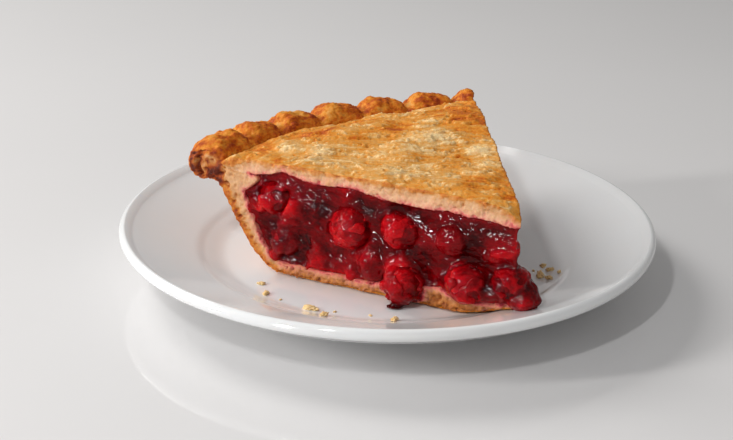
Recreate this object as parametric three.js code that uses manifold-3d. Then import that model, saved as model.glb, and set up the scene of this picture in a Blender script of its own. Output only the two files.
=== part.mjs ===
// A slice of double-crust cherry pie on its white dessert plate.
//
// Millimetres, +Z up. The origin is the centre of the plate's foot on the table. The slice is one
// sixth of a deep-dish pie. It is modelled in its own polar frame, with r measured from the pie's
// centre, which is the slice's tip, and the angle running from the far cut face to the near one.
// Heights are above the table everywhere. The named solids are the plate, the bottom crust with its
// wall and fluted rim, the lid, the filling that runs between them, and each cherry that shows.

import * as THREE from "three";
import { mergeVertices } from "three/addons/utils/BufferGeometryUtils.js";
import Module from "manifold-3d";

const wasm = await Module();
wasm.setup();

// Plate
const PLATE_RADIUS = 101.5;
const PLATE_HEIGHT = 22.5;
const LIP_THICKNESS = 4.4;
const LIP_STEPS = 5;
const LIP_FIRST_TURN = -0.62 * Math.PI;
const LIP_TURN = 1.14 * Math.PI;
const SIDE_CURVE = 1.12;
const SIDE_MIDDLE = 82;
const SIDE_THICKNESS = 4.6;
const SIDE_STATIONS = [90, 80, 74, 70, 66];
const WELL_EDGE_RADIUS = 70;
const WELL_EDGE_HEIGHT = 11.2;
const FLOOR_RADIUS = 61;
const FLOOR_HEIGHT = 8;
const FLOOR_THICKNESS = 5;
const FOOT_OUTER_RADIUS = 61;
const FOOT_INNER_RADIUS = 57;
const FOOT_FLARE = { out: 2.5, up: 3.4 };
const PLATE_SIDES = 48;

// Slice
const SLICE_ANGLE = THREE.MathUtils.degToRad(60);
const TIP = { x: 44, y: -67 };
const FAR_FACE_BEARING = THREE.MathUtils.degToRad(94.2);
const TIP_RADIUS = 0.7;
const GAP = 0.3;
const TIP_CLEARANCE = 0.7;

// Pastry
const RIM_CENTRE = { r: 124, z: 46.4 };
const RIM_HALF_WIDTH = 7.5;
const RIM_HALF_HEIGHT = 6;
const RIM_SIDES = 12;
const RIM_STEPS = 58;
const FLUTES = 6.45;
const FIRST_CREST = 0.2;
const FLUTE_SKEW = 0.9;
const FLUTE_LEAN = 0.55;
const FLUTE_SHARPNESS = 1.3;
const FLUTE_RISE = 1.5;
const FLUTE_SWELL = 1.1;
const FLUTE_WIDENING = 0.7;
const FLUTE_REACH = 1;
const RIM_UNEVENNESS = 0.35;
const UNEVEN_FLUTE = { at: 0.86, reach: 0.05, by: 0.19 };
const FAR_END_SHARE = 0.26;
const FAR_END_PEAK = 1.2;
const LID_RADIUS = 117;
const LID_OVERHANG = 5;
const LID_EDGE_START = 103;
const LID_EDGE_DROOP = 3.4;
const LID_HEIGHT = 51.9;
const LID_TIP_DROOP = 5.2;
const LID_DROOP_REACH = 6.5;
const LID_DOME = { r: 88, reach: 30, rise: 3.4 };
const LID_RIPPLE = 0.75;
const LID_UNDER_RIPPLE = 0.5;
const WALL_START = 0.62;
const FLOOR_LUMPS = 0.7;
const LIFT_SQUEEZE = 0.5;
const CUT_UNEVENNESS = 0.5;

// Under face of the bottom crust, from the tip (share 0) along the floor and up the wall (share 1):
// share, distance from the tip, height.
const UNDER_FACE = [
  [0, TIP_RADIUS, 8.3],
  [0.62, 92.5, 8.3],
  [0.68, 97.6, 10.2],
  [0.77, 104.2, 16.2],
  [0.87, 110.4, 25.5],
  [0.94, 115.4, 35],
  [1, 120.5, 43.2],
];

// Upper face of the bottom crust, against the filling.
const UPPER_FACE = [
  [0, TIP_RADIUS, 15.2],
  [0.18, 26, 16.6],
  [0.28, 40.4, 14.8],
  [0.42, 60.6, 12.8],
  [0.62, 89.5, 12.8],
  [0.68, 95.4, 13.8],
  [0.77, 99.6, 20],
  [0.87, 103.6, 29],
  [0.94, 107.2, 37.2],
  [1, 110, 44],
];

// Section of the dough that fills the corner between the wall, the roll and the lid: distance from
// the tip, height of its lower face, height of its upper face.
const CORNER_DOUGH = [
  [101.8, 43.4, 45.2],
  [105.5, 39.6, 45.4],
  [110, 38.6, 45.2],
  [122, 42.5, 47.8],
];

// How closely the corner dough follows the lid's dome.
const CORNER_FOLLOW = 0.85;
const CORNER_UNEVENNESS = 0.25;

// Thickness of the lid at distances from the tip.
const LID_THICKNESS = [
  [0, 2.6],
  [3, 4.6],
  [10, 6.6],
  [22, 7.2],
  [42, 6.4],
  [53, 7],
  [64, 4.9],
  [73, 4.6],
  [80, 6.6],
  [91, 3.2],
  [101, 6.3],
  [117, 5],
];

// Filling and cherries
const FILLING_RADIUS = 112;
const FILLING_TIP_RADIUS = 1.9;
const FACE_SINK = 1.4;
const FACE_BULGE = 0.9;
const FACE_LUMPS = 1.5;
const CHERRY_RADIUS = 8.2;
const CHERRY_FLATNESS = { across: 0.95, up: 0.92 };
const CHERRY_DENT = { depth: 0.16, sharpness: 7 };
const CHERRY_UNEVENNESS = 0.05;
const CHERRY_TILT = 25;

// Places of the cherries that show: distance from the tip, height, size against a full cherry, and
// how far the centre stands in front of the cut face (below zero is behind it).
const NEAR_CHERRIES = [
  { name: "cherry_near_1", r: 65.2, z: 31.6, size: 1.1, out: -5.4 },
  { name: "cherry_near_2", r: 45.9, z: 34.2, size: 0.95, out: -4.2 },
  { name: "cherry_near_3", r: 95.6, z: 37.6, size: 0.94, out: -6.0 },
  { name: "cherry_near_4", r: 91.5, z: 22.4, size: 0.9, out: -6.0 },
  { name: "cherry_near_5", r: 25.5, z: 34.8, size: 0.9, out: -6.0 },
  { name: "cherry_near_6", r: 19.0, z: 20.6, size: 0.92, out: -1.4 },
  { name: "cherry_near_7", r: 42.3, z: 15.4, size: 0.84, out: 1.2 },
  { name: "cherry_near_8", r: 55.6, z: 18.4, size: 0.78, out: -5.0 },
];
const FAR_CHERRIES = [
  { name: "cherry_far_1", r: 90.0, z: 35.0, size: 0.98, out: -5.4 },
  { name: "cherry_far_2", r: 70.5, z: 26.0, size: 0.94, out: -5.4 },
  { name: "cherry_far_3", r: 50.0, z: 35.5, size: 0.96, out: -5.0 },
  { name: "cherry_far_4", r: 33.0, z: 24.5, size: 0.9, out: -4.8 },
  { name: "cherry_tip", r: 5.0, z: 22.4, size: 0.82, out: -1.8 },
];

// Runs of filling that have slid out over the bottom crust: the face they hang on (1 near, 0 far),
// their place along it, out of it and up, and their half sizes in the same three directions.
const SPILLS = [
  { face: 1, r: 43, out: 1.2, z: 13.8, along: 8, across: 4.6, up: 5.2 },
  { face: 1, r: 15, out: -1.6, z: 19.6, along: 16, across: 5.6, up: 5.4 },
  { face: 0, r: 5, out: 1.2, z: 20.2, along: 9, across: 7.2, up: 5.6 },
];

// Smooth, repeatable unevenness between -1 and 1 at a point. Each seed gives another pattern.
function unevenness(a, b, seed) {
  return (
    0.5 * Math.sin(1.0 * a + 1.7 * b + seed * 2.1) +
    0.3 * Math.sin(2.3 * a - 1.1 * b + seed * 4.7) +
    0.2 * Math.sin(3.9 * a + 2.9 * b + seed * 1.3)
  );
}

// The value at a key on the line through rows that start with the key. column picks the value.
function along(rows, key, column = 1) {
  let i = 1;
  while (i < rows.length - 1 && key > rows[i][0]) i += 1;
  const [before, after] = [rows[i - 1], rows[i]];
  return THREE.MathUtils.mapLinear(key, before[0], after[0], before[column], after[column]);
}

// The solid inside a closed mesh.
function solidOf(geometry) {
  geometry.deleteAttribute("normal");
  geometry.deleteAttribute("uv");
  const merged = mergeVertices(geometry, 1e-5);
  const mesh = new wasm.Mesh({
    numProp: 3,
    vertProperties: new Float32Array(merged.attributes.position.array),
    triVerts: new Uint32Array(merged.index.array),
  });
  return new wasm.Manifold(mesh);
}

// The mesh of a solid, without any scrap that a cut has left loose.
function geometryOf(solid) {
  const largest = solid.decompose().sort((a, b) => b.volume() - a.volume())[0];
  const mesh = largest.getMesh();
  const geometry = new THREE.BufferGeometry();
  geometry.setAttribute("position", new THREE.BufferAttribute(mesh.vertProperties, 3));
  geometry.setIndex(new THREE.BufferAttribute(mesh.triVerts, 1));
  return geometry;
}

// A box of unit size whose faces are divided and then carried to shape(u, v, w), each 0 to 1.
function shapedBox(alongU, alongV, alongW, shape) {
  const box = new THREE.BoxGeometry(1, 1, 1, alongU, alongW, alongV);
  const place = box.attributes.position;
  for (let i = 0; i < place.count; i += 1) {
    const at = shape(place.getX(i) + 0.5, place.getZ(i) + 0.5, place.getY(i) + 0.5);
    place.setXYZ(i, at.x, at.y, at.z);
  }
  return solidOf(box);
}

// A point of the slice at share w of its angle, 0 on the far face and 1 on the near one. out moves
// a point of a cut face straight out of it.
function slicePoint(r, w, z, out = 0) {
  const angle = SLICE_ANGLE * w;
  const point = new THREE.Vector3(r * Math.cos(angle), r * Math.sin(angle), z);
  if (w === 0) point.y -= out;
  if (w === 1) {
    point.x -= out * Math.sin(SLICE_ANGLE);
    point.y += out * Math.cos(SLICE_ANGLE);
  }
  return point;
}

// The distance from the plate's centre of a point given in the slice's frame.
function plateRadiusAt(point) {
  const bearing = Math.atan2(point.y, point.x) + FAR_FACE_BEARING;
  const reach = Math.hypot(point.x, point.y);
  return Math.hypot(TIP.x + reach * Math.cos(bearing), TIP.y + reach * Math.sin(bearing));
}

// The height of the plate's upper face at a distance from its centre.
function plateTop(radius) {
  const shoulder = THREE.MathUtils.smoothstep(radius, FLOOR_RADIUS, WELL_EDGE_RADIUS + 4);
  const rise = Math.max(0, radius - WELL_EDGE_RADIUS) / (PLATE_RADIUS - WELL_EDGE_RADIUS);
  const slope = (PLATE_HEIGHT - 0.4 - WELL_EDGE_HEIGHT) * Math.pow(rise, SIDE_CURVE);
  return FLOOR_HEIGHT + (WELL_EDGE_HEIGHT - FLOOR_HEIGHT) * shoulder + slope;
}

// Plate: one turned body with a rounded lip, a shallow well and a foot ring.
function plateGeometry() {
  const profile = [new THREE.Vector2(0, FLOOR_HEIGHT - FLOOR_THICKNESS)];
  profile.push(new THREE.Vector2(FOOT_INNER_RADIUS - 1, FLOOR_HEIGHT - FLOOR_THICKNESS));
  profile.push(new THREE.Vector2(FOOT_INNER_RADIUS, 0));
  profile.push(new THREE.Vector2(FOOT_OUTER_RADIUS, 0));
  profile.push(new THREE.Vector2(FOOT_OUTER_RADIUS + FOOT_FLARE.out, FOOT_FLARE.up));
  profile.push(new THREE.Vector2(SIDE_MIDDLE, plateTop(SIDE_MIDDLE) - SIDE_THICKNESS));
  const lipRadius = LIP_THICKNESS / 2;
  const lipCentre = { r: PLATE_RADIUS - lipRadius, z: PLATE_HEIGHT - lipRadius };
  for (let i = 0; i <= LIP_STEPS; i += 1) {
    const angle = LIP_FIRST_TURN + (LIP_TURN * i) / LIP_STEPS;
    const r = lipCentre.r + lipRadius * Math.cos(angle);
    profile.push(new THREE.Vector2(r, lipCentre.z + lipRadius * Math.sin(angle)));
  }
  for (const radius of SIDE_STATIONS) profile.push(new THREE.Vector2(radius, plateTop(radius)));
  profile.push(new THREE.Vector2(FLOOR_RADIUS - 2, FLOOR_HEIGHT));
  profile.push(new THREE.Vector2(0, FLOOR_HEIGHT));
  const lathe = new THREE.LatheGeometry(profile, PLATE_SIDES);
  lathe.rotateX(Math.PI / 2);
  return geometryOf(solidOf(lathe));
}

// A point in the thickness of the bottom crust: share runs from tip to rim, thick from its under
// face to its upper one, and swell moves it outward across the thickness. Where the floor crosses
// the plate's rising side it is lifted, and squeezed to LIFT_SQUEEZE of that lift on top.
function sheetPoint(share, thick, w, swell) {
  const under = { r: along(UNDER_FACE, share), z: along(UNDER_FACE, share, 2) };
  const upper = { r: along(UPPER_FACE, share), z: along(UPPER_FACE, share, 2) };
  const span = Math.hypot(upper.r - under.r, upper.z - under.z);
  const angle = SLICE_ANGLE * w;
  const below = new THREE.Vector3(under.r * Math.cos(angle), under.r * Math.sin(angle), 0);
  const rest = plateTop(plateRadiusAt(below)) + TIP_CLEARANCE;
  const lift = share < WALL_START ? Math.max(0, rest - under.z) : 0;
  const lumps = FLOOR_LUMPS * unevenness(upper.r / 7, w * 9, 3) * thick;
  const z = THREE.MathUtils.lerp(under.z + lift, upper.z + lift * LIFT_SQUEEZE, thick);
  return {
    r: THREE.MathUtils.lerp(under.r, upper.r, thick) + (swell * (upper.r - under.r)) / span,
    z: z + lumps + (swell * (upper.z - under.z)) / span,
  };
}

// The baked sheet of the bottom crust. grow swells it all round by that much.
function bottomSheet(grow) {
  return shapedBox(22, 1, 10, (share, thick, w) => {
    const at = sheetPoint(share, thick, w, thick ? grow : -grow);
    const out = grow + CUT_UNEVENNESS * unevenness(share * 33, thick * 2, w ? 7 : 5);
    return slicePoint(Math.max(TIP_RADIUS - grow, at.r), w, at.z + (share === 1 ? grow : 0), out);
  });
}

// How near a share of the angle is to the far face: 1 on it and 0 beyond the end's reach.
function farEnd(w) {
  return 1 - THREE.MathUtils.smoothstep(w, 0, FAR_END_SHARE);
}

// How high a flute stands at a share of the angle and a turn about the roll: 1 on a crest and -1 in
// the pinch between two. Each flute leans over the next, and one pinch sits off its place.
function fluteAt(w, turn) {
  const drift = UNEVEN_FLUTE.by * Math.exp(-(((w - UNEVEN_FLUTE.at) / UNEVEN_FLUTE.reach) ** 2));
  const phase = 2 * Math.PI * (w * FLUTES - FIRST_CREST + drift) + FLUTE_SKEW * Math.sin(turn);
  const leaning = phase + FLUTE_LEAN * (1 - Math.cos(phase));
  return 2 * Math.abs(Math.cos(leaning / 2)) ** FLUTE_SHARPNESS - 1;
}

// The rolled and fluted rim, swept round the edge. It peaks by the far face.
function flutedRim(grow) {
  const roll = new THREE.CylinderGeometry(1, 1, 1, RIM_SIDES, RIM_STEPS);
  const place = roll.attributes.position;
  for (let i = 0; i < place.count; i += 1) {
    const reach = Math.hypot(place.getX(i), place.getZ(i));
    const turn = Math.atan2(place.getZ(i), place.getX(i));
    const w = place.getY(i) + 0.5;
    const crest = fluteAt(w, turn);
    const uneven = RIM_UNEVENNESS * unevenness(w * 17, turn, 2);
    const peak = FAR_END_PEAK * farEnd(w) ** 2;
    const halfWidth = RIM_HALF_WIDTH + FLUTE_WIDENING * crest + uneven + grow;
    const halfHeight = RIM_HALF_HEIGHT + FLUTE_SWELL * crest + uneven + grow;
    const r = RIM_CENTRE.r + FLUTE_REACH * crest + reach * halfWidth * Math.cos(turn);
    const z = RIM_CENTRE.z + FLUTE_RISE * crest + peak + reach * halfHeight * Math.sin(turn);
    const out = grow + CUT_UNEVENNESS * unevenness(turn * 2, reach, w + 4) * reach;
    const at = slicePoint(r, w, z, out);
    place.setXYZ(i, at.x, at.y, at.z);
  }
  return solidOf(roll);
}

// How much the lid domes at a point: most beside the far face, towards the rim.
function domeRise(r, w) {
  return LID_DOME.rise * Math.exp(-(((r - LID_DOME.r) / LID_DOME.reach) ** 2)) * (1 - w) ** 1.5;
}

// How much the lid dips from its level part down to the rim. It doesn't dip at its far end.
function edgeDip(r, w) {
  return LID_EDGE_DROOP * THREE.MathUtils.smoothstep(r, LID_EDGE_START, LID_RADIUS + 1) * (1 - farEnd(w));
}

// The dough that joins the wall to the roll under the lid's edge. It follows the lid's dome and dip.
function cornerDough(grow) {
  const first = CORNER_DOUGH[0][0];
  const last = CORNER_DOUGH[CORNER_DOUGH.length - 1][0];
  return shapedBox(4, 1, 10, (u, v, w) => {
    const r = THREE.MathUtils.lerp(first, last, u);
    const rise = domeRise(r, w) + edgeDip(r, 1) - edgeDip(r, w);
    const z = along(CORNER_DOUGH, r, v ? 2 : 1) + (v ? rise * CORNER_FOLLOW + grow : -grow);
    const out = grow + CORNER_UNEVENNESS * (1 + unevenness(r / 4, v * 3, w ? 3 : 2));
    return slicePoint(r + (2 * u - 1) * grow, w, z, out);
  });
}

function bottomCrust(grow) {
  return bottomSheet(grow).add(cornerDough(grow)).add(flutedRim(grow));
}

// Height of the lid's upper face: nearly level, drooping at the tip and down to the rim, domed by
// the far face, and dimpled and blistered all over.
function lidTop(r, w) {
  const droop = LID_TIP_DROOP * Math.exp(-((r / LID_DROOP_REACH) ** 2));
  const dome = domeRise(r, w);
  const ripple = LID_RIPPLE * unevenness((r * Math.cos(w)) / 9, (r * Math.sin(w)) / 9, 1);
  return LID_HEIGHT - droop - edgeDip(r, w) + dome + ripple * THREE.MathUtils.smoothstep(r, 5, 30);
}

function lidUnderside(r, w) {
  return lidTop(r, w) - along(LID_THICKNESS, r) - LID_UNDER_RIPPLE * unevenness(r / 6, w * 8, 6);
}

function lid(grow) {
  return shapedBox(18, 1, 9, (u, v, w) => {
    const r = TIP_RADIUS - grow + (LID_RADIUS + LID_OVERHANG * farEnd(w) - TIP_RADIUS + grow) * u;
    const out = grow + CUT_UNEVENNESS * unevenness(r / 5, v * 2, w ? 9 : 8);
    return slicePoint(r, w, v ? lidTop(r, w) + grow : lidUnderside(r, w) - grow, out);
  });
}

// The filling before the crusts, plate and cherries are taken out of it: a block that reaches into
// each crust, with cut faces that sink and bulge between them.
function fillingBlock() {
  return shapedBox(20, 7, 5, (u, v, w) => {
    const share = 0.96 * u;
    const base = sheetPoint(share, 0.6, w, 0);
    const top = { r: FILLING_TIP_RADIUS + (FILLING_RADIUS - FILLING_TIP_RADIUS) * u };
    top.z = (lidTop(top.r, w) + lidUnderside(top.r, w)) / 2;
    const r = Math.max(FILLING_TIP_RADIUS, THREE.MathUtils.lerp(base.r, top.r, v));
    const z = THREE.MathUtils.lerp(Math.min(base.z, top.z - 1), top.z, v);
    const middle = Math.sin(Math.PI * v) * Math.min(1, (1 - u) * 9);
    const lumps = FACE_LUMPS * unevenness(r / 8, v * 4, w ? 12 : 11);
    return slicePoint(r, w, z, (lumps + FACE_BULGE) * middle - FACE_SINK);
  });
}

// A rounded lump of filling, its three half sizes along the face, out of it and up.
function lump(at) {
  const ball = new THREE.SphereGeometry(1, 12, 8);
  ball.scale(at.along, at.across, at.up);
  const solid = solidOf(ball);
  const centre = slicePoint(at.r, at.face, at.z, at.out);
  const turn = THREE.MathUtils.radToDeg(SLICE_ANGLE * at.face);
  return solid.rotate([0, 0, turn]).translate([centre.x, centre.y, centre.z]);
}

// A cherry, a little flattened and dented at its stalk end.
function cherry(face, at, grow) {
  const ball = new THREE.SphereGeometry(1, 12, 7);
  const place = ball.attributes.position;
  const radius = CHERRY_RADIUS * at.size + grow;
  for (let i = 0; i < place.count; i += 1) {
    const dent = 1 - CHERRY_DENT.depth * Math.exp(-(1 - place.getY(i)) * CHERRY_DENT.sharpness);
    const squash = 1 + CHERRY_UNEVENNESS * unevenness(place.getX(i) * 2, place.getZ(i) * 2, at.r);
    place.setXYZ(
      i,
      place.getX(i) * radius * squash,
      place.getZ(i) * radius * squash * CHERRY_FLATNESS.across,
      place.getY(i) * radius * dent * CHERRY_FLATNESS.up,
    );
  }
  ball.index.array.reverse();
  const centre = slicePoint(at.r, face, at.z, at.out);
  const tilt = CHERRY_TILT * unevenness(at.r, at.z, 1);
  return solidOf(ball)
    .rotate([tilt, tilt, THREE.MathUtils.radToDeg(SLICE_ANGLE * face)])
    .translate([centre.x, centre.y, centre.z]);
}

// A solid with the plate's place, GAP clear of it, taken away: only the tip's spill reaches it.
function clearOfPlate(solid) {
  const under = shapedBox(20, 1, 20, (u, v, w) => {
    const at = new THREE.Vector3(u * 90 - 20, w * 90 - 35, 0);
    return new THREE.Vector3(at.x, at.y, v ? plateTop(plateRadiusAt(at)) + GAP : 0);
  });
  return solid.subtract(under);
}

const bottomSolid = bottomCrust(0);
const bottomClear = bottomCrust(GAP);
const lidSolid = lid(0).subtract(bottomClear);
const lidClear = lid(GAP);

const placed = [
  ...NEAR_CHERRIES.map((at) => ({ at, face: 1 })),
  ...FAR_CHERRIES.map((at) => ({ at, face: 0 })),
];

let fillingSolid = fillingBlock();
for (const at of SPILLS) fillingSolid = fillingSolid.add(lump(at));
for (const { at, face } of placed) fillingSolid = fillingSolid.subtract(cherry(face, at, GAP));
fillingSolid = clearOfPlate(fillingSolid.subtract(bottomClear).subtract(lidClear));

const PLATE_WHITE = { color: 0xf1f0ee, roughness: 0.12, metalness: 0 };
const CRUST_BROWN = { color: 0xc98a45, roughness: 0.75, metalness: 0 };
const LID_GOLD = { color: 0xddb06c, roughness: 0.7, metalness: 0 };
const FILLING_RED = { color: 0x5c0618, roughness: 0.15, metalness: 0 };
const CHERRY_RED = { color: 0xa3121f, roughness: 0.18, metalness: 0 };

function named(name, geometry, finish) {
  const mesh = new THREE.Mesh(geometry, new THREE.MeshStandardMaterial(finish));
  mesh.name = name;
  return mesh;
}

const slice = new THREE.Group();
slice.position.set(TIP.x, TIP.y, 0);
slice.rotation.z = FAR_FACE_BEARING;
slice.add(named("bottom_crust", geometryOf(bottomSolid), CRUST_BROWN));
slice.add(named("lid", geometryOf(lidSolid), LID_GOLD));
slice.add(named("filling", geometryOf(fillingSolid), FILLING_RED));
for (const { at, face } of placed) {
  const whole = clearOfPlate(cherry(face, at, 0).subtract(bottomClear).subtract(lidClear));
  slice.add(named(at.name, geometryOf(whole), CHERRY_RED));
}

const pie = new THREE.Group();
pie.add(named("plate", plateGeometry(), PLATE_WHITE));
pie.add(slice);

export default pie;
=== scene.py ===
"""Dresses a slice of double-crust cherry pie on its white dessert plate.

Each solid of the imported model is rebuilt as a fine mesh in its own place: the plate as turned
porcelain, the crusts as flaky baked pastry with crumbly cut faces, and the filling and cherries as
wet fruit. Lengths are in millimetres until a mesh is written, which holds metres.
"""

import logging
import math
import random
from dataclasses import dataclass, field
from enum import Enum

import bmesh
import bpy
import numpy as np
from mathutils import Matrix, Vector, noise
from mathutils.bvhtree import BVHTree

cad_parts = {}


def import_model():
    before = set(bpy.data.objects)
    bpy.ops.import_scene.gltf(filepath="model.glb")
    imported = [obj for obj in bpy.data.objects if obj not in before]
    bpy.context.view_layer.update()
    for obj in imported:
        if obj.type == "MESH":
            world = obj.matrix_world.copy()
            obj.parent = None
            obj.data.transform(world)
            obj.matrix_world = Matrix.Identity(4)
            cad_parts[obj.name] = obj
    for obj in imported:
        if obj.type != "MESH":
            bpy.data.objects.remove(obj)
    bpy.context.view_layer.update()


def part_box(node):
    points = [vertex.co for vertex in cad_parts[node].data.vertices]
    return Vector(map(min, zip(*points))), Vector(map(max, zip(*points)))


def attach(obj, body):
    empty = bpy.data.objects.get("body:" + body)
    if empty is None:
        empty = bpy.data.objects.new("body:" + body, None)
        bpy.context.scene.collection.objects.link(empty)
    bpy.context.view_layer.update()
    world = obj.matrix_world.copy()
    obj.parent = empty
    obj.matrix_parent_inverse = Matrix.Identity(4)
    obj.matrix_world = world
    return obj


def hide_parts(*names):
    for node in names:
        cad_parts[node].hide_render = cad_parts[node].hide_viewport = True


LOG = logging.getLogger("cherry_pie")
MM = 0.001

Colour = tuple[float, float, float]
Spot = tuple[float, float, float]
Outline = list[tuple[float, float]]


class Face(Enum):
    """The two cut faces of the slice, by their share of its angle."""

    FAR = 0.0
    NEAR = 1.0


def smooth(low: float, high: float, values: np.ndarray) -> np.ndarray:
    """Eases from 0 at low to 1 at high.

    Args:
        low: Where the result is still 0.
        high: Where the result reaches 1.
        values: The numbers to ease.

    Returns:
        A number from 0 to 1 for each value.
    """
    share = np.clip((values - low) / (high - low), 0.0, 1.0)
    return share * share * (3.0 - 2.0 * share)


def hill(distance: np.ndarray, width: float) -> np.ndarray:
    """A round hill that is 1 at distance 0 and fades out over width."""
    return np.exp(-((distance / width) ** 2))


def cloud(points: np.ndarray, size: float, octaves: int = 3, seed: float = 0.0) -> np.ndarray:
    """Uneven noise, about -1 to 1.

    Args:
        points: Places in millimetres, one row each.
        size: The width of the largest lumps, in millimetres.
        octaves: How many finer layers are added.
        seed: Picks another pattern.

    Returns:
        One number for each point.
    """
    places = (points / size + seed * 13.7).tolist()
    return np.array([noise.fractal(place, 0.85, 2.1, octaves) for place in places])


def ridges(points: np.ndarray, size: float, octaves: int = 3, seed: float = 0.0) -> np.ndarray:
    """Noise with sharp crests, about 0 to 1.

    Args:
        points: Places in millimetres, one row each.
        size: The distance between the crests, in millimetres.
        octaves: How many finer layers are added.
        seed: Picks another pattern.

    Returns:
        One number for each point.
    """
    places = (points / size + seed * 9.1).tolist()
    raw = [noise.ridged_multi_fractal(place, 0.9, 2.1, octaves, 1.0, 2.0) for place in places]
    return np.clip(np.array(raw) / 2.2, 0.0, 1.0)


@dataclass(frozen=True)
class Wedge:
    """The slice's own frame: its tip, the bearing of its far face and its angle."""

    tip_x: float = 44.0
    tip_y: float = -67.0
    bearing: float = math.radians(94.2)
    angle: float = math.radians(60.0)

    def into(self, world: np.ndarray) -> np.ndarray:
        """Carries points from the plate's frame into the slice's.

        Args:
            world: Places in the plate's frame, one row each.

        Returns:
            The same places in the slice's frame.
        """
        x = world[:, 0] - self.tip_x
        y = world[:, 1] - self.tip_y
        c, s = math.cos(self.bearing), math.sin(self.bearing)
        return np.column_stack((c * x + s * y, c * y - s * x, world[:, 2]))

    def out_of(self, local: np.ndarray) -> np.ndarray:
        """Carries points from the slice's frame into the plate's.

        Args:
            local: Places in the slice's frame, one row each.

        Returns:
            The same places in the plate's frame.
        """
        c, s = math.cos(self.bearing), math.sin(self.bearing)
        x = c * local[:, 0] - s * local[:, 1] + self.tip_x
        y = s * local[:, 0] + c * local[:, 1] + self.tip_y
        return np.column_stack((x, y, local[:, 2]))

    def turn(self, vectors: np.ndarray) -> np.ndarray:
        """Turns directions into the slice's frame.

        Args:
            vectors: Directions in the plate's frame, one row each.

        Returns:
            The same directions in the slice's frame.
        """
        c, s = math.cos(self.bearing), math.sin(self.bearing)
        x, y = vectors[:, 0], vectors[:, 1]
        return np.column_stack((c * x + s * y, c * y - s * x, vectors[:, 2]))

    def outward(self, face: Face) -> np.ndarray:
        """The direction straight out of a cut face, in the slice's frame.

        Args:
            face: Which cut face.

        Returns:
            A vector of length 1.
        """
        if face is Face.FAR:
            return np.array((0.0, -1.0, 0.0))
        return np.array((-math.sin(self.angle), math.cos(self.angle), 0.0))


WEDGE = Wedge()


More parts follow.
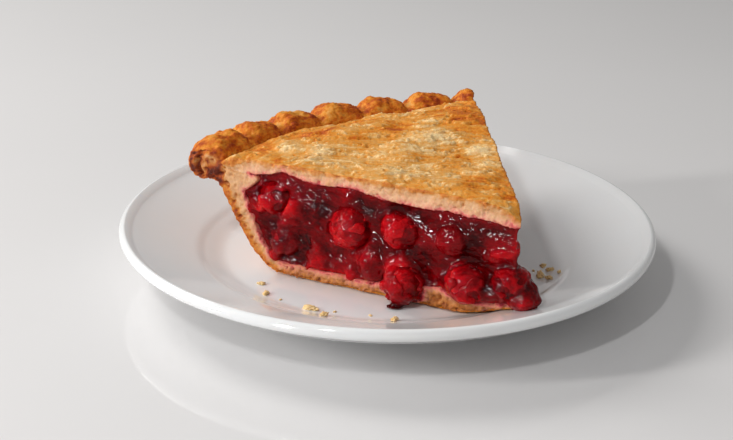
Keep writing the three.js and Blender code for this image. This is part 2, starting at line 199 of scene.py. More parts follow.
class Desk:
    """Lays out the nodes of one material."""

    def __init__(self, name: str) -> None:
        """Starts a material that holds one Principled shader.

        Args:
            name: The material's name.
        """
        self.material = bpy.data.materials.new(name)
        self.material.use_nodes = True
        self.tree = self.material.node_tree
        self.shader = self.tree.nodes["Principled BSDF"]
        self.place = self.tree.nodes.new("ShaderNodeTexCoord").outputs["Object"]

    def feed(self, socket: bpy.types.NodeSocket, value: object) -> None:
        """Links a socket to another, or sets it to a plain value.

        Args:
            socket: The socket to fill.
            value: Another node's output, a colour or a number.
        """
        if isinstance(value, bpy.types.NodeSocket):
            self.tree.links.new(value, socket)
        elif isinstance(value, tuple) and len(value) == 3 and socket.type == "RGBA":
            socket.default_value = (*value, 1.0)
        else:
            socket.default_value = value

    def painted(self, name: str) -> bpy.types.NodeSocket:
        """Reads a number that is painted on the mesh.

        Args:
            name: The name it was stored under.

        Returns:
            The number's output.
        """
        node = self.tree.nodes.new("ShaderNodeAttribute")
        node.attribute_name = name
        return node.outputs["Fac"]

    def noise(
        self, size: float, detail: float = 3.0, stretch: Colour = (1, 1, 1), swirl: float = 0.0
    ) -> bpy.types.NodeSocket:
        """Noise from 0 to 1 in the piece's own place.

        Args:
            size: The width of its lumps, in millimetres.
            detail: How much finer noise is added.
            stretch: How much finer it is along each axis.
            swirl: How much it is stirred into strands.

        Returns:
            The noise's output.
        """
        mapping = self.tree.nodes.new("ShaderNodeMapping")
        mapping.inputs["Scale"].default_value = stretch
        self.tree.links.new(self.place, mapping.inputs["Vector"])
        node = self.tree.nodes.new("ShaderNodeTexNoise")
        node.inputs["Scale"].default_value = 1.0 / (size * MM)
        node.inputs["Detail"].default_value = detail
        node.inputs["Distortion"].default_value = swirl
        self.tree.links.new(mapping.outputs["Vector"], node.inputs["Vector"])
        return node.outputs["Fac"]

    def sum(self, first: object, second: object, kind: str = "ADD") -> bpy.types.NodeSocket:
        """Joins two numbers by a math node.

        Args:
            first: A number or an output.
            second: Another one.
            kind: The node's operation.

        Returns:
            The result's output.
        """
        node = self.tree.nodes.new("ShaderNodeMath")
        node.operation = kind
        self.feed(node.inputs[0], first)
        self.feed(node.inputs[1], second)
        return node.outputs[0]

    def spread(
        self, value: object, low: float, high: float, start: float, end: float
    ) -> bpy.types.NodeSocket:
        """Maps a number from low..high to start..end, without passing either end.

        Args:
            value: The number to map.
            low: Where the result is start.
            high: Where the result is end.
            start: The result at low.
            end: The result at high.

        Returns:
            The result's output.
        """
        node = self.tree.nodes.new("ShaderNodeMapRange")
        for key, number in zip(("From Min", "From Max", "To Min", "To Max"), (low, high, start, end)):
            node.inputs[key].default_value = number
        self.feed(node.inputs["Value"], value)
        return node.outputs["Result"]

    def ramp(self, value: object, stops: list[tuple[float, Colour]]) -> bpy.types.NodeSocket:
        """Colours a number by a ramp.

        Args:
            value: The number, from 0 to 1.
            stops: Places on the ramp with their colours.

        Returns:
            The colour.
        """
        node = self.tree.nodes.new("ShaderNodeValToRGB")
        marks = node.color_ramp.elements
        while len(marks) < len(stops):
            marks.new(0.5)
        for mark, (at, colour) in zip(marks, stops):
            mark.position = at
            mark.color = (*colour, 1.0)
        self.feed(node.inputs["Fac"], value)
        return node.outputs["Color"]

    def blend(self, share: object, first: object, second: object) -> bpy.types.NodeSocket:
        """Mixes two colours by a share of the second.

        Args:
            share: How much of the second shows, from 0 to 1.
            first: A colour or an output.
            second: Another one.

        Returns:
            The mixed colour.
        """
        node = self.tree.nodes.new("ShaderNodeMix")
        node.data_type = "RGBA"
        self.feed(node.inputs["Factor"], share)
        self.feed(node.inputs["A"], first)
        self.feed(node.inputs["B"], second)
        return node.outputs["Result"]

    def relief(
        self, height: object, depth: float, strength: float = 1.0, over: object = None
    ) -> bpy.types.NodeSocket:
        """Fine relief in the shading.

        Args:
            height: The relief's height, from 0 to 1.
            depth: What a height of 1 stands for, in millimetres.
            strength: How much of the relief shows.
            over: A coarser relief that this one lies on.

        Returns:
            The bent normal.
        """
        node = self.tree.nodes.new("ShaderNodeBump")
        node.inputs["Distance"].default_value = depth * MM
        node.inputs["Strength"].default_value = strength
        self.feed(node.inputs["Height"], height)
        if over is not None:
            self.feed(node.inputs["Normal"], over)
        return node.outputs["Normal"]

    def set(self, **values: object) -> None:
        """Sets the shader's sockets by their names, with _ for a space."""
        for name, value in values.items():
            self.feed(self.shader.inputs[name.replace("_", " ")], value)


@dataclass(frozen=True)
class Porcelain:
    """White glaze over a white body."""

    colour: Colour = (0.85, 0.862, 0.87)
    warm: Colour = (0.845, 0.85, 0.85)
    gloss: tuple[float, float] = (0.07, 0.13)
    bending: float = 1.52
    glaze: float = 0.4
    glaze_roughness: float = 0.03

    def make(self) -> bpy.types.Material:
        """Builds the material."""
        desk = Desk("porcelain_glaze")
        tint = desk.blend(desk.spread(desk.noise(34, 2), 0.35, 0.7, 0, 1), self.colour, self.warm)
        gloss = desk.spread(desk.noise(9, 4), 0.3, 0.75, *self.gloss)
        desk.set(Base_Color=tint, Roughness=gloss, IOR=self.bending)
        desk.set(Coat_Weight=self.glaze, Coat_Roughness=self.glaze_roughness, Subsurface_Weight=0.08)
        desk.set(Subsurface_Radius=(0.002, 0.0018, 0.0016), Subsurface_Scale=1.0)
        desk.set(Normal=desk.relief(desk.noise(15, 2), 0.05))
        return desk.material


@dataclass(frozen=True)
class Pastry:
    """Baked shortcrust: its browned skin, its paler cut dough and the juice beside the fruit."""

    name: str
    shine: float = 0.45
    mirror: float = 0.16

    def make(self) -> bpy.types.Material:
        """Builds the material."""
        desk = Desk(self.name)
        speck = desk.noise(0.9, 4)
        broad = desk.noise(5.5, 4)
        brown = desk.painted("browning")
        brown = desk.sum(brown, desk.spread(broad, 0.25, 0.75, -0.09, 0.09))
        brown = desk.sum(brown, desk.spread(speck, 0.2, 0.8, -0.1, 0.1))
        skin = desk.ramp(
            brown,
            [
                (0.0, (0.9, 0.64, 0.32)),
                (0.25, (0.72, 0.36, 0.09)),
                (0.45, (0.72, 0.26, 0.022)),
                (0.62, (0.57, 0.135, 0.005)),
                (0.8, (0.34, 0.045, 0.002)),
                (1.0, (0.1, 0.01, 0.001)),
            ],
        )
        dough = desk.ramp(
            brown,
            [
                (0.0, (0.84, 0.53, 0.31)),
                (0.3, (0.68, 0.35, 0.15)),
                (0.55, (0.52, 0.185, 0.04)),
                (0.8, (0.28, 0.065, 0.012)),
                (1.0, (0.09, 0.012, 0.003)),
            ],
        )
        body = desk.blend(desk.painted("cut"), skin, dough)
        stain = desk.sum(desk.painted("stain"), desk.spread(speck, 0.3, 0.7, -0.12, 0.12))
        juice = desk.ramp(
            stain,
            [
                (0.0, (0.9, 0.5, 0.36)),
                (0.5, (0.78, 0.2, 0.17)),
                (0.85, (0.4, 0.025, 0.035)),
                (1.0, (0.22, 0.008, 0.015)),
            ],
        )
        wet = desk.spread(stain, 0.08, 0.55, 0.0, 1.0)
        desk.set(Base_Color=desk.blend(wet, body, juice))
        desk.set(Roughness=desk.spread(speck, 0.3, 0.75, self.shine, self.shine + 0.25))
        desk.set(Specular_IOR_Level=self.mirror, Subsurface_Weight=0.12)
        desk.set(Subsurface_Radius=(0.0016, 0.0009, 0.0004), Subsurface_Scale=1.0)
        coarse = desk.relief(desk.noise(1.5, 5), 0.5, 0.8)
        desk.set(Normal=desk.relief(desk.noise(0.45, 3), 0.14, 0.8, coarse))
        return desk.material


@dataclass(frozen=True)
class WetFruit:
    """Cherry flesh or gel under a film of syrup, from its deepest shade to its brightest."""

    name: str
    deep: Colour
    middle: Colour
    bright: Colour
    glow: Colour
    folds: float = 0.42
    ripple: float = 0.03
    roughness: float = 0.04
    bending: float = 1.38
    mirror: float = 0.2

    def make(self) -> bpy.types.Material:
        """Builds the material."""
        desk = Desk(self.name)
        strand = desk.noise(3.0, 2, (1.0, 1.0, 1.6), 1.4)
        soft = desk.noise(3.4, 1, (1.0, 1.0, 1.5), 1.0)
        fruit = desk.sum(desk.painted("fruit"), desk.spread(strand, 0.3, 0.7, -0.1, 0.1))
        stops = [(0.0, self.deep), (0.42, self.middle), (0.72, self.bright), (1.0, self.glow)]
        desk.set(Base_Color=desk.ramp(fruit, stops), Roughness=self.roughness)
        desk.set(IOR=self.bending, Specular_IOR_Level=self.mirror)
        desk.set(Subsurface_Weight=0.15, Subsurface_Scale=1.0)
        desk.set(Subsurface_Radius=(0.002, 0.0001, 0.0001))
        folds = desk.relief(soft, self.folds, 1.0)
        desk.set(Normal=desk.relief(desk.noise(1.1, 1, (1, 1, 1), 0.8), self.ripple, 0.8, folds))
        return desk.material


@dataclass(frozen=True)
class StudioTop:
    """The pale, faintly glossy table top of the studio."""

    colour: Colour = (0.78, 0.77, 0.77)
    roughness: float = 0.07
    bending: float = 1.5

    def make(self) -> bpy.types.Material:
        """Builds the material."""
        desk = Desk("studio_top")
        tint = desk.blend(desk.noise(160, 3), self.colour, tuple(0.96 * part for part in self.colour))
        desk.set(Base_Color=tint, Roughness=self.roughness, IOR=self.bending)
        return desk.material


class Skin:
    """The surface of one piece as arrays, in the slice's frame and in millimetres."""

    def __init__(self, mesh: bpy.types.Mesh) -> None:
        """Reads the mesh.

        Args:
            mesh: The piece's mesh, in metres.
        """
        self.mesh = mesh
        count = len(mesh.vertices)
        places = np.empty(count * 3, np.float32)
        mesh.vertices.foreach_get("co", places)
        normals = np.empty(count * 3, np.float32)
        mesh.vertices.foreach_get("normal", normals)
        self.points = WEDGE.into(places.reshape(-1, 3).astype(float) / MM)
        self.normals = WEDGE.turn(normals.reshape(-1, 3).astype(float))

    @property
    def radius(self) -> np.ndarray:
        """Distance of each point from the slice's tip, seen from above."""
        return np.hypot(self.points[:, 0], self.points[:, 1])

    @property
    def share(self) -> np.ndarray:
        """Each point's share of the slice's angle, 0 on the far face and 1 on the near one."""
        return np.arctan2(self.points[:, 1], self.points[:, 0]) / WEDGE.angle

    @property
    def height(self) -> np.ndarray:
        """Height of each point above the table."""
        return self.points[:, 2]

    def facing(self, face: Face, reach: float = 2.2) -> np.ndarray:
        """How much each point belongs to a cut face.

        Args:
            face: Which cut face.
            reach: How far off the face's plane a point may lie, in millimetres.

        Returns:
            A number from 0 to 1 for each point.
        """
        out = WEDGE.outward(face)
        return smooth(0.35, 0.75, self.normals @ out) * (np.abs(self.points @ out) < reach)

    def cut(self) -> np.ndarray:
        """How much each point belongs to either cut face."""
        return np.maximum(self.facing(Face.NEAR), self.facing(Face.FAR))

    def push(self, amount: np.ndarray, along: np.ndarray | None = None) -> None:
        """Moves the points.

        Args:
            amount: How far each point moves, in millimetres.
            along: The direction for all of them, or None for their own normals.
        """
        self.points += amount[:, None] * (self.normals if along is None else along)

    def write(self) -> None:
        """Puts the points back into the mesh."""
        places = WEDGE.out_of(self.points) * MM
        self.mesh.vertices.foreach_set("co", places.astype(np.float32).ravel())
        self.mesh.update()

    def paint(self, name: str, values: np.ndarray) -> None:
        """Stores one number for each point.

        Args:
            name: The name that the materials read it by.
            values: The numbers, which are held to 0..1.
        """
        layer = self.mesh.attributes.new(name, "FLOAT", "POINT")
        layer.data.foreach_set("value", np.clip(values, 0.0, 1.0).astype(np.float32))


@dataclass
class FinePiece:
    """One piece of food that takes the place of a solid, with the same form and a fine surface."""

    node: str
    slot: str
    voxel: float = 0.55
    soften: int = 3

    def gather(self, bm: bmesh.types.BMesh) -> None:
        """Puts the solid that the piece is made from into an empty mesh.

        Args:
            bm: The mesh.
        """
        bm.from_mesh(bpy.data.objects[self.node].data)

    def form(self) -> bpy.types.Object:
        """Makes an even, softened copy of the node's solid.

        Returns:
            The new object, at the origin.
        """
        bm = bmesh.new()
        self.gather(bm)
        bmesh.ops.remove_doubles(bm, verts=bm.verts, dist=0.002 * MM)
        bmesh.ops.recalc_face_normals(bm, faces=bm.faces)
        rough = bpy.data.meshes.new(f"{self.node}_rough")
        bm.to_mesh(rough)
        bm.free()
        holder = bpy.data.objects.new(f"{self.node}_rough", rough)
        bpy.context.scene.collection.objects.link(holder)
        remesh = holder.modifiers.new("even", "REMESH")
        remesh.mode = "VOXEL"
        remesh.voxel_size = self.voxel * MM
        graph = bpy.context.evaluated_depsgraph_get()
        fine = bpy.data.meshes.new_from_object(holder.evaluated_get(graph))
        bpy.data.objects.remove(holder)
        bpy.data.meshes.remove(rough)
        bm = bmesh.new()
        bm.from_mesh(fine)
        for _ in range(self.soften):
            bmesh.ops.smooth_vert(
                bm, verts=bm.verts, factor=0.5, use_axis_x=True, use_axis_y=True, use_axis_z=True
            )
        bm.to_mesh(fine)
        bm.free()
        fine.name = f"{self.node}_fine"
        piece = bpy.data.objects.new(f"{self.node}_fine", fine)
        bpy.context.scene.collection.objects.link(piece)
        return piece

    def sculpt(self, skin: Skin) -> None:
        """Shapes and paints the surface. Each kind of piece has its own way.

        Args:
            skin: The piece's surface.
        """
        raise NotImplementedError

    def build(self, finish: bpy.types.Material) -> bpy.types.Object:
        """Builds, dresses and places the piece.

        Args:
            finish: Its material.

        Returns:
            The finished piece.
        """
        piece = self.form()
        self.sculpt(Skin(piece.data))
        for polygon in piece.data.polygons:
            polygon.use_smooth = True
        piece.data.materials.clear()
        piece.data.materials.append(finish)
        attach(piece, "root")
        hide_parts(self.node)
        LOG.info("%s: %d faces", piece.name, len(piece.data.polygons))
        return piece


def tree_of(node: str) -> BVHTree:
    """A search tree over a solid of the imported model.

    Args:
        node: The solid's node.

    Returns:
        The tree, in metres.
    """
    bm = bmesh.new()
    bm.from_mesh(bpy.data.objects[node].data)
    tree = BVHTree.FromBMesh(bm)
    bm.free()
    return tree


def nearest(names: tuple[str, ...], skin: Skin, reach: float = 6.0) -> tuple[np.ndarray, np.ndarray]:
    """How far each point of a surface is from the nearest of some solids, and which way.

    Args:
        names: The solids' nodes.
        skin: The surface.
        reach: The farthest distance worth telling, in millimetres.

    Returns:
        The distances in millimetres, none over reach, and the directions, 0 where out of reach.
    """
    trees = [tree_of(name) for name in names]
    gaps = np.full(len(skin.points), reach)
    ways = np.zeros_like(skin.points)
    for index, place in enumerate((WEDGE.out_of(skin.points) * MM).tolist()):
        for tree in trees:
            spot, _, _, gap = tree.find_nearest(place, reach * MM)
            if gap is not None and gap / MM < gaps[index]:
                gaps[index] = gap / MM
                ways[index] = (spot - Vector(place)) / max(gap, 1e-9)
    return gaps, WEDGE.turn(ways)


@dataclass
class BottomCrust(FinePiece):
    """The base, the wall and the fluted rim."""

    flutes: float = 6.45
    first_crest: float = 0.057
    roll: tuple[float, float] = (124.0, 46.4)
    roll_radius: float = 6.4
    hollow_radius: float = 126.6
    hollow_height: float = 46.6
    hollow_depth: float = 2.0
    dip_filling: float = 1.1
    skin_line: tuple[tuple[float, float], ...] = (
        (0.0, 8.3),
        (92.5, 8.3),
        (97.6, 10.2),
        (104.2, 16.2),
        (110.4, 25.5),
        (115.4, 35.0),
        (120.5, 43.2),
    )

    def sculpt(self, skin: Skin) -> None:
        """Gives the base crags, the wall its baked layers and the rim its grain and pinches."""
        points, r, z, share = skin.points.copy(), skin.radius, skin.height, skin.share
        near, far = skin.facing(Face.NEAR), skin.facing(Face.FAR)
        cut = np.maximum(near, far)
        rim = smooth(113.5, 117.5, r) * smooth(38.0, 41.5, z)
        grain = cloud(points, 2.2, 4)
        broad = cloud(points, 8.0, 3, 2.0)
        fine = cloud(points, 1.1, 2, 5.0)

        pits = np.maximum(0.0, cloud(points, 1.9, 2, 9.0) - 0.2)
        flat = points * np.array((1.0, 1.0, 2.2))
        clumps = cloud(flat, 4.2, 3, 15.0)
        cracks = smooth(0.6, 0.85, ridges(flat, 7.5, 2, 16.0))
        crumble = 0.6 * clumps + 0.42 * grain + 0.3 * fine - 2.0 * pits - 0.9 * cracks
        skin.push(cut * crumble * (1.0 + 0.5 * smooth(98.0, 90.0, r)) + (1 - cut) * 0.2 * grain)

        phase = share * self.flutes - self.first_crest
        valley = (0.5 - 0.5 * np.cos(2 * math.pi * phase)) ** 3
        inner = smooth(124.5, 117.0, r) * smooth(47.0, 53.0, z)
        flakes = smooth(0.0, 0.12, cloud(points * np.array((1.0, 1.0, 1.4)), 3.2, 4, 17.0))
        combed = cloud(np.column_stack((share * 22.0, r / 1.5, z / 1.5)), 1.0, 3, 19.0)
        rough = 0.26 * cloud(points, 3.4, 3, 4.0) + 0.2 * flakes + 0.2 * fine
        rough += 0.14 * grain + 0.2 * combed
        skin.push((1 - cut) * rim * (rough - 0.12 + self.dip_filling * valley))

        along = np.column_stack((share * 120.0, (r + z) * 3.0, z * 0.6))
        layers = ridges(along, 6.0, 3, 1.0)
        wall = (1 - cut) * (1 - rim) * smooth(88.0, 97.0, r)
        skin.push(wall * (0.35 * layers - 0.15 + 0.2 * broad))

        hollow = self.hollow(r, z, cloud(points, 2.6, 2, 7.0))
        for face, mask in ((Face.NEAR, near), (Face.FAR, far)):
            skin.push((-self.hollow_depth + 1.4 * grain) * hollow * mask, WEDGE.outward(face))
        to_lid, way = nearest(("lid",), skin, 3.0)
        off = np.min([np.abs(points @ WEDGE.outward(face)) for face in Face], axis=0)
        seam = hill(to_lid - 0.3, 0.7) * (r < 115.0) * smooth(5.0, 2.5, off)
        skin.points += (0.35 * seam)[:, None] * way
        cut = np.maximum(cut, seam)
        low = smooth(10.8, 8.4, z - self.lifted(points)) * cut
        skin.push(-1.7 * low * smooth(-0.2, 0.5, cloud(points, 3.4, 3, 6.0)))
        skin.write()

        depth = self.depth_under(r, z)
        in_wall = smooth(86.0, 95.0, r)
        crust_band = smooth(4.4, 1.9, depth + 1.2 * grain) * (0.12 + 0.88 * in_wall)
        brown_skin = 0.5 + 0.13 * broad + 0.1 * layers * wall
        # The valleys between the flutes on the rim's inner side are painted darker: painted shade in
        # those creases, added to the rim's real browning, grain and paler flakes.
        rim_browning_and_shade = 0.61 + 0.14 * broad + 0.18 * grain + 0.14 * valley * inner + 0.08 * inner
        rim_browning_and_shade -= 0.1 * flakes + 0.12 * combed
        browning = brown_skin * (1 - rim) + rim_browning_and_shade * rim
        from_roll = np.hypot(r - self.roll[0], z - self.roll[1]) - self.roll_radius
        in_roll = rim * (0.34 + 0.3 * grain + 0.3 * hill(from_roll, 1.7))
        dough = 0.54 - 0.32 * in_wall + 0.1 * grain + 0.12 * clumps + 0.36 * crust_band + in_roll
        # Pits and cracks, sunk into the cut face above, are also painted darker: painted shade in them.
        dough += 0.26 * hollow + 0.5 * pits + 0.22 * cracks
        skin.paint("browning", browning * (1 - cut) + dough * cut)
        skin.paint("cut", cut * (1 - 0.7 * crust_band) * (1 - 0.6 * rim * smooth(0.5, 0.8, dough)))
        gap, _ = nearest(("filling",), skin)
        soak = 0.75 + 0.5 * cloud(points, 4.5, 3, 8.0)
        skin.paint("stain", soak * (0.8 * hill(gap - 0.1, 1.2) + 0.4 * hill(gap, 3.2) * cut))

    def hollow(self, r: np.ndarray, z: np.ndarray, unevenness: np.ndarray) -> np.ndarray:
        """The crescent left inside the rolled edge where it is cut.

        Args:
            r: Each point's distance from the slice's tip, in millimetres.
            z: Its height above the table, in millimetres.
            unevenness: How far the crescent strays there, in millimetres.

        Returns:
            A number for each point, 1 where the crescent is deepest.
        """
        lift = z - self.hollow_height
        centre = self.hollow_radius + 0.7 - 0.07 * lift**2
        across = np.abs(r - centre + 0.5 * unevenness)
        return smooth(1.6, 0.5, across) * smooth(5.6, 3.8, np.abs(lift))

    def lifted(self, points: np.ndarray) -> np.ndarray:
        """How far the plate's rising side lifts the crust's floor.

        Args:
            points: Places in the slice's frame, in millimetres.

        Returns:
            The lift under each point, in millimetres.
        """
        world = WEDGE.out_of(points)
        out = np.hypot(world[:, 0], world[:, 1])
        return 6.5 * smooth(61.0, 84.0, out) * (points[:, 0] < 60.0)

    def depth_under(self, r: np.ndarray, z: np.ndarray) -> np.ndarray:
        """How deep a point of a cut face lies inside the crust's outer skin.

        Args:
            r: Each point's distance from the slice's tip, in millimetres.
            z: Its height above the table, in millimetres.

        Returns:
            The depth of each point, in millimetres.
        """
        best = np.full(len(r), 99.0)
        for (r0, z0), (r1, z1) in zip(self.skin_line, self.skin_line[1:]):
            length = (r1 - r0) ** 2 + (z1 - z0) ** 2
            share = np.clip(((r - r0) * (r1 - r0) + (z - z0) * (z1 - z0)) / length, 0, 1)
            best = np.minimum(best, np.hypot(r - r0 - share * (r1 - r0), z - z0 - share * (z1 - z0)))
        return best


@dataclass(frozen=True)
class Patch:
    """A browned or pale place on the lid: distance from the tip, bearing, size and strength."""

    r: float
    bearing: float
    size: float
    browning: float
    rise: float = 0.0


PATCHES = (
    Patch(39, 10.8, 11, -0.03, -0.3),
    Patch(34, 23.7, 9, 0.03),
    Patch(22, 8, 10, 0.08),
    Patch(94.7, 4, 14, 0.22, 0.4),
    Patch(98, 38, 9, 0.26, 0.7),
    Patch(105, 56, 9, 0.2),
    Patch(75, 3, 11, 0.12),
    Patch(12, 40, 9, 0.1),
    Patch(88, 24, 7, 0.16, 0.3),
    Patch(55.4, 8.5, 4.5, -0.34, 1.1),
    Patch(74, 18.5, 8, -0.2, 1.3),
    Patch(68.9, 31.3, 9, -0.18, 1.5),
    Patch(86, 49, 9, -0.12, 0.6),
    Patch(100, 50, 6, -0.2, 0.7),
    Patch(50, 44, 10, -0.1, 0.5),
)


@dataclass
class Lid(FinePiece):
    """The flaky top crust: combed streaks, peeling flakes, blisters and a crumbly cut edge."""

    crown: float = 51.9
    tip_droop: float = 5.2
    tip_reach: float = 6.5
    dome_rise: float = 3.4
    dome_radius: float = 88.0
    dome_reach: float = 30.0
    edge_fall: float = 3.4

    def sculpt(self, skin: Skin) -> None:
        """Shapes and paints the lid."""
        points, r, z, share = skin.points.copy(), skin.radius, skin.height, skin.share
        cut = skin.cut()
        top = smooth(0.25, 0.7, skin.normals[:, 2])
        world = WEDGE.out_of(points)
        bend = cloud(points, 60.0, 2, 3.0)
        across = world[:, 1] + 13.0 * bend
        streak = cloud(np.column_stack((world[:, 0] / 9.0, across / 1.7, z * 0.1)), 1.0, 3)
        arc = cloud(np.column_stack((share * 9.0, r / 1.8, z * 0.1)), 1.0, 3, 2.0)
        outer = smooth(94.0, 104.0, r)
        comb = streak * (1 - outer) + arc * outer
        peel_field = cloud(np.column_stack((world[:, 0] / 2.2, across, z * 0.2)), 6.5, 4, 6.0)
        peel = smooth(0.02, 0.09, peel_field)
        edge = hill(peel_field - 0.06, 0.05)
        grain = cloud(points, 2.0, 4, 1.0)
        fine = cloud(points, 1.0, 2, 4.0)
        pits = np.maximum(0.0, cloud(points, 1.7, 2, 8.0) - 0.34)

        rise = np.zeros(len(r))
        patchy = np.zeros(len(r))
        for patch in PATCHES:
            turn = math.radians(patch.bearing)
            x, y = patch.r * math.cos(turn), patch.r * math.sin(turn)
            gap = np.hypot(points[:, 0] - x, points[:, 1] - y)
            rise += patch.rise * hill(gap, patch.size * 0.8)
            patchy += patch.browning * hill(gap + 2.5 * grain, patch.size)

        brink = smooth(5.0, 1.0, self.from_cut(points))
        wave = cloud(points, 11.0, 2, 12.0)
        flaky = 0.2 + 0.8 * (1 - brink)
        ledge = hill(r - 112.5, 2.4) * (0.5 + 1.1 * cloud(points, 6.0, 3, 13.0))
        lift = rise + (0.22 * comb + 0.6 * peel + 0.22 * edge) * flaky
        lift += 0.1 * fine + 0.5 * wave - 0.9 * pits - 0.2 + ledge
        skin.push(top * (lift + brink * (0.4 * cloud(points, 4.2, 3, 5.0))))
        flat = points * np.array((1.0, 1.0, 2.0))
        clumps = cloud(flat, 4.0, 3, 15.0)
        crumbly = 0.45 * clumps + 0.34 * grain + 0.2 * fine - 1.3 * pits
        rag = smooth(-2.6, 0.0, z - self.top_height(r, share)) * (0.45 * cloud(points, 4.0, 3, 7.0))
        skin.push((cut - 0.7 * skin.facing(Face.FAR)) * (crumbly + rag))
        to_crust, way = nearest(("bottom_crust",), skin, 3.0)
        by_cut = smooth(5.0, 2.5, self.from_cut(points))
        seam = hill(to_crust - 0.3, 0.7) * (r < 115.0) * (1 - top) * by_cut
        skin.points += (0.35 * seam)[:, None] * way
        cut = np.maximum(cut, seam)
        skin.write()

        browning = 0.33 + patchy + 0.2 * cloud(points, 18.0, 4, 9.0) + 0.07 * grain
        browning += 0.04 * brink + 0.1 * smooth(98.0, 110.0, r)
        # Pits, sunk into the lid above, are painted darker: painted shade in them.
        browning += 0.45 * pits - 0.26 * edge - 0.2 * comb
        browning -= 0.16 * ledge
        under = self.top_height(r, share) - z
        band = smooth(2.3, 0.6, under - 0.8 * grain)
        # On the cut the pits are painted darker too: painted shade.
        dough = 0.1 + 0.12 * grain + 0.1 * clumps + 0.22 * band + 0.2 * hill(under, 3.6) + 0.5 * pits
        skin.paint("browning", browning * (1 - cut) + dough * cut)
        skin.paint("cut", cut * (1 - 0.6 * band))
        gap, _ = nearest(("filling",), skin)
        soak = 0.75 + 0.5 * cloud(points, 4.5, 3, 8.0)
        skin.paint("stain", soak * (0.85 * hill(gap, 1.2) + 0.5 * hill(gap, 3.4)) * (1 - top))

    def from_cut(self, points: np.ndarray) -> np.ndarray:
        """Distance of each point from the nearer cut face, in millimetres."""
        return np.min([np.abs(points @ WEDGE.outward(face)) for face in Face], axis=0)

    def top_height(self, r: np.ndarray, share: np.ndarray) -> np.ndarray:
        """Height of the lid's upper face, without its fine relief.

        Args:
            r: Each point's distance from the slice's tip, in millimetres.
            share: Its share of the slice's angle, from 0 at the far face.

        Returns:
            The height at each point, in millimetres.
        """
        droop = self.tip_droop * hill(r, self.tip_reach)
        far_side = np.clip(1 - share, 0, 1) ** 1.5
        dome = self.dome_rise * hill(r - self.dome_radius, self.dome_reach) * far_side
        edge = self.edge_fall * smooth(103.0, 118.0, r) * smooth(0.0, 0.26, share)
        return self.crown - droop - edge + dome


